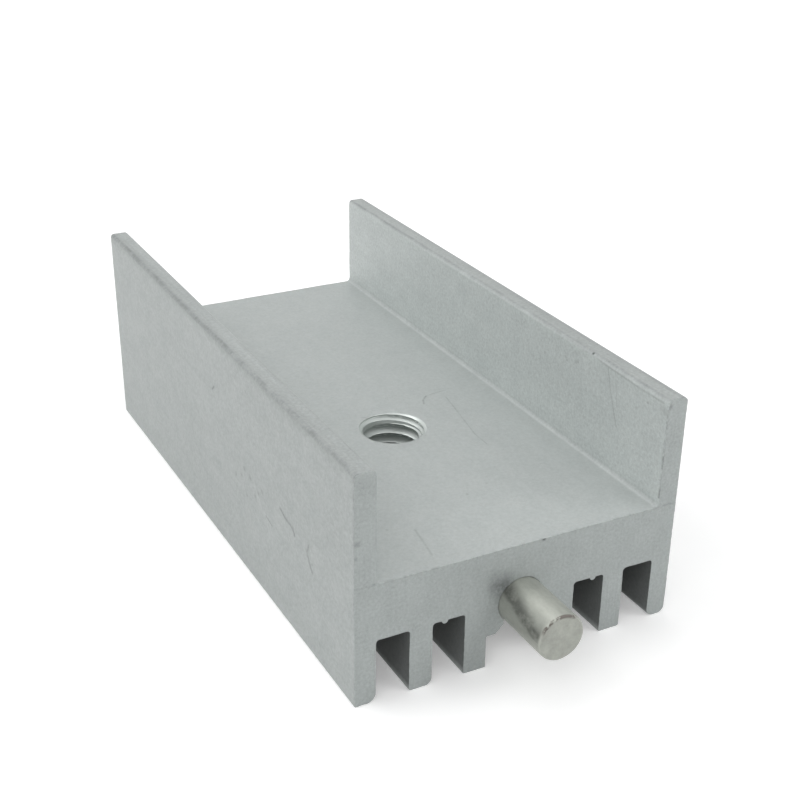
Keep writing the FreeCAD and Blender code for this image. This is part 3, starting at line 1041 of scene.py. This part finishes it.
@dataclass
class HeatSink:
    """The extrusion with its sawn ends and its tapped hole.

    Its faces sink by up to the waviness, and by ragged burrs within the edge's reach.
    """

    section: Section
    length: float
    thread: ScrewThread
    finishes: dict[Skin, Aluminium]
    end_rows: tuple[float, ...] = (0.0, 0.02, 0.05, 0.13, 0.3, 0.6, 1.0)
    row_step: float = 0.9
    edge_ease: float = 0.02
    edge_reach: float = 0.05
    waviness: float = 0.006
    wave_across: float = 3.5
    wave_along: float = 7.0
    burr: float = 0.22
    burr_patch: float = 1.1
    burr_depth: float = 5.0
    sharp: float = math.radians(35)
    triangles: int = field(default=0, init=False)

    def rows(self) -> list[float]:
        """Lists how far along the extrusion each ring of points lies.

        Returns:
            The distances from the near end, closer together at both ends.
        """
        near = list(self.end_rows)
        far = [self.length - y for y in reversed(near)]
        count = math.ceil((far[0] - near[-1]) / self.row_step)
        middle = [near[-1] + (far[0] - near[-1]) * k / count for k in range(1, count)]
        return near + middle + far

    def normals(self, outline: np.ndarray) -> np.ndarray:
        """Gives the direction out of the metal at each point of the section.

        Args:
            outline: The section's points.

        Returns:
            A direction of length 1 for each point.
        """
        ahead = np.roll(outline, -1, axis=0) - np.roll(outline, 1, axis=0)
        ahead /= np.linalg.norm(ahead, axis=1, keepdims=True)
        return np.stack([-ahead[:, 1], ahead[:, 0]], axis=1)

    def inset(self, x: float, z: float, y: float, distance: float, end: End) -> float:
        """Says how far the surface lies inside its nominal place.

        Args:
            x: Across the section.
            z: Height.
            y: Along the extrusion.
            distance: How far the nearer end is.
            end: Which end that is.

        Returns:
            The depth, never below zero, so that the part stays in its own box.
        """
        wave = ripple(x / self.wave_across, y / self.wave_along, z / self.wave_across, 3.0)
        depth = self.waviness * wave
        if distance < self.edge_reach:
            burrs = ripple(x / self.burr, 0.0, z / self.burr, end.value)
            patch = ripple(x / self.burr_patch, 0.0, z / self.burr_patch, end.value + 7)
            ragged = burrs * patch
            share = (1 - distance / self.edge_reach) ** 2
            depth += self.edge_ease * (0.25 + self.burr_depth * ragged**2) * share
        return depth

    def blank(self, skins: list[bpy.types.Material]) -> bpy.types.Object:
        """Builds the extrusion before it is tapped.

        Args:
            skins: The aluminium materials, in the order of Skin.

        Returns:
            A closed object of triangles.
        """
        outline = self.section.outline()
        outward = self.normals(outline)
        rows = self.rows()
        verts: list[Place] = []
        for y in rows:
            end = End.NEAR if y < self.length / 2 else End.FAR
            distance = min(y, self.length - y)
            for (x, z), (nx, nz) in zip(outline, outward):
                depth = self.inset(x, z, y, distance, end)
                verts.append(((x - nx * depth) * MM, y * MM, (z - nz * depth) * MM))
        faces = tube(len(rows), len(outline))
        faces.append(tuple(range(len(outline))))
        faces.append(tuple(range(len(verts) - len(outline), len(verts)))[::-1])
        mesh = raw_mesh("extrusion", verts, faces, skins)
        mesh.polygons[-1].material_index = Skin.SAWN.value
        mesh.polygons[-2].material_index = Skin.SAWN.value
        triangulate(mesh)
        return add_object("extrusion", mesh)

    def build(self) -> bpy.types.Object:
        """Builds the whole heat sink, dresses it and fits it over its node.

        Returns:
            The finished piece.
        """
        skins = [self.finishes[skin].build() for skin in Skin]
        blank = self.blank(skins)
        cutter = self.thread.cutter(skins)
        cut = blank.modifiers.new("tapped_hole", "BOOLEAN")
        cut.operation = "DIFFERENCE"
        cut.solver = "EXACT"
        cut.object = cutter
        cut.material_mode = "INDEX"
        depsgraph = bpy.context.evaluated_depsgraph_get()
        mesh = bpy.data.meshes.new_from_object(blank.evaluated_get(depsgraph))
        bpy.data.objects.remove(blank)
        bpy.data.objects.remove(cutter)
        mesh.name = "extruded_heat_sink"
        mesh.shade_smooth()
        mesh.set_sharp_from_angle(angle=self.sharp)
        self.triangles = sum(len(p.vertices) - 2 for p in mesh.polygons)
        piece = add_object("extruded_heat_sink", mesh)
        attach(piece, BODY)
        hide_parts("heat_sink")
        return piece


@dataclass
class SolderPin:
    """The round pin: drawn wire, sheared at its free end and pressed into the groove.

    The seated length narrows by the taper, and the dents only ever sink into the wire.
    """

    radius: float
    free: float
    seated: float
    finish: TinnedWire
    taper: float = 0.015
    end_round: float = 0.1
    end_rings: tuple[float, ...] = (0.0, 0.25, 0.5, 0.7, 0.85, 0.95)
    round_steps: int = 8
    seated_rings: tuple[float, ...] = (0.05, 0.3, 0.6, 0.97, 1.0)
    hidden_bevel: float = 0.15
    around: int = 96
    row_step: float = 0.12
    sink: float = 0.002
    side_dent: float = 0.01
    end_dent: float = 0.03
    end_dent_reach: float = 0.5
    shear: float = 0.02
    shear_reach: float = 0.3
    sharp: float = math.radians(40)

    def profile(self) -> list[Point]:
        """Lists y and radius from the middle of the free end to the hidden end.

        Returns:
            The points of the line that the pin's surface turns round its axis.
        """
        points: list[Point] = []
        for share in self.end_rings:
            points.append((-self.free, share * (self.radius - self.end_round)))
        for k in range(self.round_steps + 1):
            a = math.pi / 2 * k / self.round_steps
            y = -self.free + self.end_round * (1 - math.cos(a))
            points.append((y, self.radius - self.end_round * (1 - math.sin(a))))
        count = round((self.free - self.end_round) / self.row_step)
        for k in range(1, count + 1):
            y = -self.free + self.end_round + (self.free - self.end_round) * k / count
            points.append((y, self.radius))
        for share in self.seated_rings:
            radius = self.radius - self.taper * share
            points.append((self.seated * share, radius if share < 1 else radius - self.hidden_bevel))
        points.append((self.seated, 0.0))
        return points

    def build(self) -> bpy.types.Object:
        """Builds the pin, dresses it and fits it over its node.

        Returns:
            The finished piece.
        """
        profile = self.profile()
        verts: list[Place] = []
        n = self.around
        for y, radius in profile[1:-1]:
            for j in range(n):
                turn = 2 * math.pi * j / n
                x, z = math.cos(turn), math.sin(turn)
                reach = radius - self.out_of_round(x, y, z, radius)
                along = self.end_place(x, y, z, radius)
                verts.append((reach * x * MM, along * MM, reach * z * MM))
        free_middle, hidden_middle = len(verts), len(verts) + 1
        last = len(verts) - n
        faces = tube(len(profile) - 2, n)
        for j in range(n):
            faces.append((free_middle, (j + 1) % n, j))
            faces.append((hidden_middle, last + j, last + (j + 1) % n))
        verts.append((0.0, (profile[0][0] + self.sink) * MM, 0.0))
        verts.append((0.0, profile[-1][0] * MM, 0.0))
        mesh = raw_mesh("solder_pin_wire", verts, faces, [self.finish.build()])
        triangulate(mesh)
        mesh.shade_smooth()
        mesh.set_sharp_from_angle(angle=self.sharp)
        piece = add_object("solder_pin_wire", mesh)
        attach(piece, BODY)
        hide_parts("solder_pin")
        return piece

    def out_of_round(self, x: float, y: float, z: float, radius: float) -> float:
        """Says how far the wire's side lies inside its nominal radius.

        Args:
            x: The point's direction from the axis, to the right.
            y: Its place along the pin.
            z: Its direction from the axis, upwards.
            radius: Its nominal radius.

        Returns:
            The depth, which is 0 on the flat end.
        """
        if radius < self.radius * 0.8:
            return 0.0
        near_end = max(0.0, 1 - (y + self.free) / self.end_dent_reach)
        dents = self.side_dent * ripple(x * 1.3, y / 1.4, z * 1.3, 11.0)
        return dents + self.end_dent * near_end * ripple(x * 1.8, 0.0, z * 1.8, 31.0) ** 2

    def end_place(self, x: float, y: float, z: float, radius: float) -> float:
        """Gives a point's place along the pin, with the sheared end slightly uneven.

        Args:
            x: The point's direction from the axis, to the right.
            y: Its nominal place along the pin.
            z: Its direction from the axis, upwards.
            radius: Its nominal radius.

        Returns:
            The place, never past the nominal end.
        """
        near_end = max(0.0, 1 - (y + self.free) / self.shear_reach)
        bend = self.shear * min(1.0, radius / self.radius) * near_end
        return y + bend * ripple(x * radius * 1.4, 0.0, z * radius * 1.4, 41.0)


@dataclass(frozen=True)
class Softbox:
    """A square lamp that faces the part, by its direction, height angle and brightness."""

    name: str
    azimuth: float
    elevation: float
    brightness: float
    distance_mm: float = 250.0
    side_mm: float = 150.0

    def build(self, target: Vector) -> None:
        """Hangs the lamp so that it faces the target.

        Args:
            target: The place that the lamp lights, in metres.
        """
        lamp = bpy.data.lights.new(self.name, "AREA")
        lamp.shape = "SQUARE"
        lamp.size = self.side_mm * MM
        lamp.energy = self.brightness * math.pi * lamp.size**2
        holder = add_object(self.name, lamp)
        turn, rise = math.radians(self.azimuth), math.radians(self.elevation)
        level = math.cos(rise)
        away = Vector((level * math.sin(turn), -level * math.cos(turn), math.sin(rise)))
        holder.location = target + away * self.distance_mm * MM
        holder.rotation_euler = (target - holder.location).to_track_quat("-Z", "Y").to_euler()


@dataclass
class Studio:
    """The pale floor, the white surroundings, the lamps and the camera.

    The camera's place and its two directions are the ones fitted to the photograph.
    """

    floor_level: float
    floor_size: float = 0.6
    floor_colour: float = 0.9
    floor_roughness: float = 0.9
    floor_lift: float = 0.28
    floor_fade_mm: Point = (60.0, 200.0)
    ambient: float = 0.45
    lamps: tuple[Softbox, ...] = (
        Softbox("softbox_left", -112.0, 45.0, 2.55),
        Softbox("softbox_front_left", -45.0, 45.0, 1.4),
        Softbox("softbox_front_right", 45.0, 32.0, 2.35),
        Softbox("softbox_back", 180.0, 68.0, 1.35),
    )
    camera_mm: Place = (-25.8391, -38.3294, 30.8199)
    right: Place = (0.888871, -0.458051, 0.009866)
    down: Place = (-0.199025, -0.405434, -0.892195)
    focal_px: float = 1353.1
    principal_px: Point = (394.9, 431.6)
    image_px: float = 800.0
    sensor_mm: float = 36.0
    clip: Point = (0.001, 10.0)

    def seen_directly(self, tree: bpy.types.NodeTree) -> Socket:
        """Gives 1 for camera, mirror and glass rays, and 0 for the rays that light things.

        Args:
            tree: The nodes of the floor or of the world.

        Returns:
            The mask.
        """
        path = tree.nodes.new("ShaderNodeLightPath")
        total = path.outputs["Is Camera Ray"]
        for name in ("Is Glossy Ray", "Is Transmission Ray"):
            step = tree.nodes.new("ShaderNodeMath")
            step.operation = "MAXIMUM"
            tree.links.new(total, step.inputs[0])
            tree.links.new(path.outputs[name], step.inputs[1])
            total = step.outputs[0]
        return total

    def floor(self) -> None:
        """Lays the pale floor, lifted to white where no shadow falls and further out."""
        place = (0, 0, self.floor_level * MM)
        bpy.ops.mesh.primitive_plane_add(size=self.floor_size, location=place)
        floor = bpy.context.object
        floor.name = "studio_floor"
        floor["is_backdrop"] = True
        g = Graph("studio_floor")
        g.shader.inputs["Base Color"].default_value = (self.floor_colour,) * 3 + (1.0,)
        g.shader.inputs["Roughness"].default_value = self.floor_roughness
        g.shader.inputs["Emission Color"].default_value = (1.0, 1.0, 1.0, 1.0)
        lift = g.spread(g.length(g.scaled(1, 1, 1)), *self.floor_fade_mm, self.floor_lift, 1.0)
        lift = g.maths("MULTIPLY", self.seen_directly(g.tree), lift)
        g.join(g.shader.inputs["Emission Strength"], lift)
        floor.data.materials.append(g.material)

    def world(self) -> None:
        """Surrounds the part with plain white, dimmer for the light that it gives."""
        world = bpy.data.worlds.new("studio_world")
        bpy.context.scene.world = world
        world.use_nodes = True
        tree = world.node_tree
        background = tree.nodes["Background"]
        background.inputs["Color"].default_value = (1.0, 1.0, 1.0, 1.0)
        strength = tree.nodes.new("ShaderNodeMapRange")
        strength.inputs[3].default_value = self.ambient
        strength.inputs[4].default_value = 1.0
        tree.links.new(self.seen_directly(tree), strength.inputs[0])
        tree.links.new(strength.outputs[0], background.inputs["Strength"])

    def camera(self) -> None:
        """Sets the camera where the photograph was taken from."""
        data = bpy.data.cameras.new("photo_view")
        data.sensor_width = self.sensor_mm
        data.lens = self.focal_px / self.image_px * data.sensor_width
        data.shift_x = (self.image_px / 2 - self.principal_px[0]) / self.image_px
        data.shift_y = (self.principal_px[1] - self.image_px / 2) / self.image_px
        data.clip_start, data.clip_end = self.clip
        camera = add_object("photo_view", data)
        right, up = Vector(self.right), -Vector(self.down)
        turn = Matrix((right, up, right.cross(up))).transposed()
        camera.matrix_world = Matrix.Translation(Vector(self.camera_mm) * MM) @ turn.to_4x4()
        bpy.context.scene.camera = camera

    def build(self, target: Vector) -> None:
        """Sets up the whole studio.

        Args:
            target: The place that the lamps face, in metres.
        """
        bpy.context.scene.view_settings.view_transform = "Standard"
        self.floor()
        self.world()
        for lamp in self.lamps:
            lamp.build(target)
        self.camera()


def side_marks(section: Section) -> tuple[Mark, ...]:
    """Lists the marks on the drawn faces, as the photograph shows them.

    Each scratch has its points on the face, how far it fades out and how dark it is.

    Args:
        section: The section, whose faces carry the marks.

    Returns:
        The marks on the seat, the left side and the right wall.
    """
    seat, left, wall = section.seat, -section.half_width, section.inside
    on_seat = [
        ([(2.51, 13.02), (2.68, 13.43), (3.02, 13.77)], 0.08, 0.4),
        ([(3.02, 13.77), (3.58, 13.87), (4.19, 13.96)], 0.06, 0.22),
        ([(3.84, 13.24), (3.64, 12.09), (3.1, 9.18), (3.09, 8.08)], 0.06, 0.2),
        ([(-3.39, 2.85), (-3.5, 2.05), (-3.68, 0.89)], 0.09, 0.17),
        ([(-0.79, 13.06), (-0.6, 12.8)], 0.07, 0.2),
    ]
    on_left = [
        ([(5.75, 2.3), (5.6, 2.0)], 0.14, 0.4),
        ([(7.08, 2.53), (6.57, 2.32), (5.94, 2.27), (5.65, 2.1)], 0.13, 0.34),
        ([(8.71, 1.29), (8.05, 1.14)], 0.07, 0.35),
        ([(4.2, 2.3), (4.35, 1.9), (4.15, 1.5), (3.87, 1.2)], 0.15, 0.32),
        ([(14.81, 4.75), (14.5, 5.0)], 0.09, 0.4),
    ]
    top_edge = [(9.5, 7.5), (8.25, 7.5), (6.72, 7.46), (5.03, 7.42), (3.92, 7.36), (1.94, 7.3)]
    on_wall = [
        ([(4.21, 7.35), (3.83, 6.19), (3.28, 4.91)], 0.06, 0.24),
        ([(3.72, 7.5), (3.33, 5.79)], 0.05, 0.16),
        ([*top_edge, (0.33, 7.3)], 0.08, 0.22),
    ]
    marks: tuple[Mark, ...] = ()
    for points, width, strength in on_seat:
        marks += trail([(x, y, seat) for x, y in points], width, strength)
    for face, scratches in ((left, on_left), (wall, on_wall)):
        for points, width, strength in scratches:
            marks += trail([(face, y, z) for y, z in points], width, strength)
    dots = [(-4.4, 3.36, seat), (1.22, 4.93, seat), (-0.03, 4.48, seat), (2.43, 9.85, seat)]
    dots += [(left, 10.59, 6.43), (left, 9.75, 2.35), (left, 12.14, 1.05), (left, 3.87, 1.57)]
    dots += [(wall, 6.39, 6.71), (wall, 7.23, 6.47), (wall, 2.07, 6.38), (wall, 1.33, 6.89)]
    marks += tuple(speck(place, 0.09, 0.3) for place in dots)
    left_pits = [(12.2, 1.64), (10.45, 2.3), (9.07, 2.29), (10.91, 1.21)]
    left_pits += [(11.5, 1.95), (11.1, 2.45), (9.9, 1.65), (9.5, 2.0)]
    marks += tuple(speck((left, y, z), 0.2, 0.24) for y, z in left_pits)
    wall_pits = [(8.99, 6.17), (8.13, 6.61), (7.32, 6.58), (6.54, 6.65)]
    marks += tuple(speck((wall, y, z), 0.15, 0.18) for y, z in wall_pits)
    marks += (speck((wall + 0.05, 5.4, section.top - 0.05), 0.13, 0.85),)
    marks += (speck((wall, 0.25, 6.95), 0.4, 0.2),)
    return marks + end_line(wall, 0.1, 0.4)


def end_line(x: float, width: float, strength: float) -> tuple[Mark, ...]:
    """Makes the broken dark line down the right wall's inner end edge.

    Args:
        x: Where the edge is, to the right of the middle plane.
        width: How far the line fades out.
        strength: How dark its darkest part is.

    Returns:
        A mark for each part of the line.
    """
    parts = [(3.1, 3.6, 0.9), (3.75, 4.2, 0.6), (4.45, 5.0, 1.0)]
    parts += [(5.2, 6.1, 0.3), (6.3, 6.6, 0.8), (6.8, 7.1, 0.4)]
    return tuple(
        Mark((x, 0.0, low), (x, 0.0, high), width, strength * share) for low, high, share in parts
    )


def end_marks(section: Section) -> tuple[Mark, ...]:
    """Lists the marks on the sawn ends: a painted shadow of the pin, a dark edge and stains.

    Args:
        section: The section, whose ends carry the marks.

    Returns:
        The marks of the near end.
    """
    wall, top = section.inside, section.top
    marks = (
        # Painted shadow that the pin casts on the end face, up and to its left.
        Mark((-0.95, 0.0, 0.95), (-0.75, 0.0, 0.8), 0.95, 0.5),
        Mark((-1.3, 0.0, 1.4), (-0.9, 0.0, 1.1), 0.6, 0.2),
    )
    marks += end_line(wall, 0.08, 0.45)
    stains = [(0.94, section.seat - 0.03, 0.16, 0.7), (wall + 0.05, top - 0.3, 0.25, 0.3)]
    stains += [(-7.35, 4.6, 0.22, 0.35), (-7.42, 4.0, 0.15, 0.2)]
    stains += [(-7.3, 2.4, 0.15, 0.15), (-7.1, 6.9, 0.7, 0.12)]
    return marks + tuple(speck((x, 0.0, z), width, strength) for x, z, width, strength in stains)


def main() -> None:
    """Builds the heat sink, the pin and the studio, and reports each piece."""
    logging.basicConfig(level=logging.INFO, format="%(message)s")
    packed_low, packed_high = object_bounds()
    low, high = (Vector(v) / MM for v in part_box("heat_sink"))
    pin_low, pin_high = (Vector(v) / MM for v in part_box("solder_pin"))
    seat = mount("transistor_seat")["pos_m"][2] / MM
    hole = mount("screw_hole")
    section = Section(
        half_width=high.x,
        bottom=low.z,
        top=high.z,
        seat=seat,
        groove_radius=mount("solder_pin")["dims"]["r_mm"],
    )
    thread = ScrewThread(
        y=hole["pos_m"][1] / MM,
        seat=seat,
        minor=hole["dims"]["r_mm"],
        bottom=section.boss_bottom - CUT_PAST,
    )
    metal = {"colour": record_colour("satin_aluminium"), "section": section}
    finishes = {
        Skin.EXTRUDED: DrawnAluminium(length=high.y, marks=side_marks(section), **metal),
        Skin.SAWN: SawnAluminium(marks=end_marks(section), **metal),
        Skin.TAPPED: TappedAluminium(**metal),
    }
    heat_sink = HeatSink(section=section, length=high.y, thread=thread, finishes=finishes)
    piece = heat_sink.build()
    LOG.info("%s: %d triangles", piece.name, heat_sink.triangles)
    pin = SolderPin(
        radius=section.groove_radius,
        free=-pin_low.y,
        seated=pin_high.y,
        finish=TinnedWire(colour=record_colour("tinned_pin"), free=-pin_low.y),
    )
    piece = pin.build()
    LOG.info("%s: %d triangles", piece.name, len(piece.data.polygons))
    Studio(floor_level=low.z).build((packed_low + packed_high) / 2)


if __name__ == "__main__":
    main()
